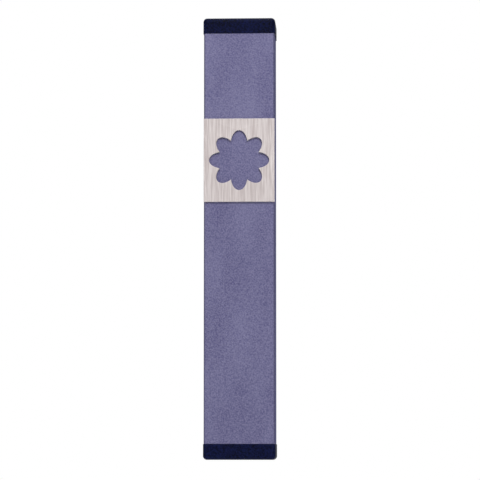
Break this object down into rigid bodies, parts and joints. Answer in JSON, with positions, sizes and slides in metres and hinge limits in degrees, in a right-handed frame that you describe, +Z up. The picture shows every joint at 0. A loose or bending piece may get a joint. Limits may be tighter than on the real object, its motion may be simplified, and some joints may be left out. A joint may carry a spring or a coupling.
{
  "type": "mezuzah case",
  "caption": "Slim upright doorpost case: a rectangular anodised tube with two push-in end caps, a plaque with a cut-out rosette, a hidden wall plate and a rolled parchment inside.",
  "frame": {"origin": "on the wall, at the middle of the case's width and of its height, caps included: the middle of the mounting tape's sticky face", "axes": "+Z up along the case, +Y out of the back into the wall, +X to the right seen from the front, so the plaque faces -Y"},
  "size_m": [0.0204, 0.017, 0.125],
  "materials": {
    "anodised_case": "bead blasted and anodised blue-violet, matte",
    "brushed_plaque": "brushed upright, warm light grey",
    "adhesive_film": "clear-milky transfer adhesive",
    "cap_plastic": "moulded, dark navy, satin",
    "plate_aluminium": "mill-finish extrusion",
    "foam_tape": "closed-cell foam, matte",
    "parchment": "scraped skin, matte",
    "clear_sleeve": "clear film"
  },
  "bodies": {
    "wall_mount": {"wall_plate": "plate_aluminium", "mounting_tape": "foam_tape"},
    "case": {"case_channel": "anodised_case", "plaque_adhesive": "adhesive_film", "front_plaque": "brushed_plaque"},
    "top_cap": {"top_cap": "cap_plastic"},
    "bottom_cap": {"bottom_cap": "cap_plastic"},
    "scroll": {"parchment_scroll": "parchment", "scroll_sleeve": "clear_sleeve"}
  },
  "joints": [
    {"name": "case_lift", "type": "slide", "parent": "wall_mount", "child": "case", "axis": [0, 0, 1], "range_m": [0, 0.14]},
    {"name": "top_cap_pull", "type": "slide", "parent": "case", "child": "top_cap", "axis": [0, 0, 1], "range_m": [0, 0.125]},
    {"name": "bottom_cap_pull", "type": "slide", "parent": "case", "child": "bottom_cap", "axis": [0, 0, -1], "range_m": [0, 0.02]},
    {"name": "scroll_slide", "type": "slide", "parent": "case", "child": "scroll", "axis": [0, 0, 1], "range_m": [0, 0.1125]}
  ],
  "couplings": [
    {"joint": "scroll_slide", "follows": "top_cap_pull", "ratio": 0.9}
  ]
}
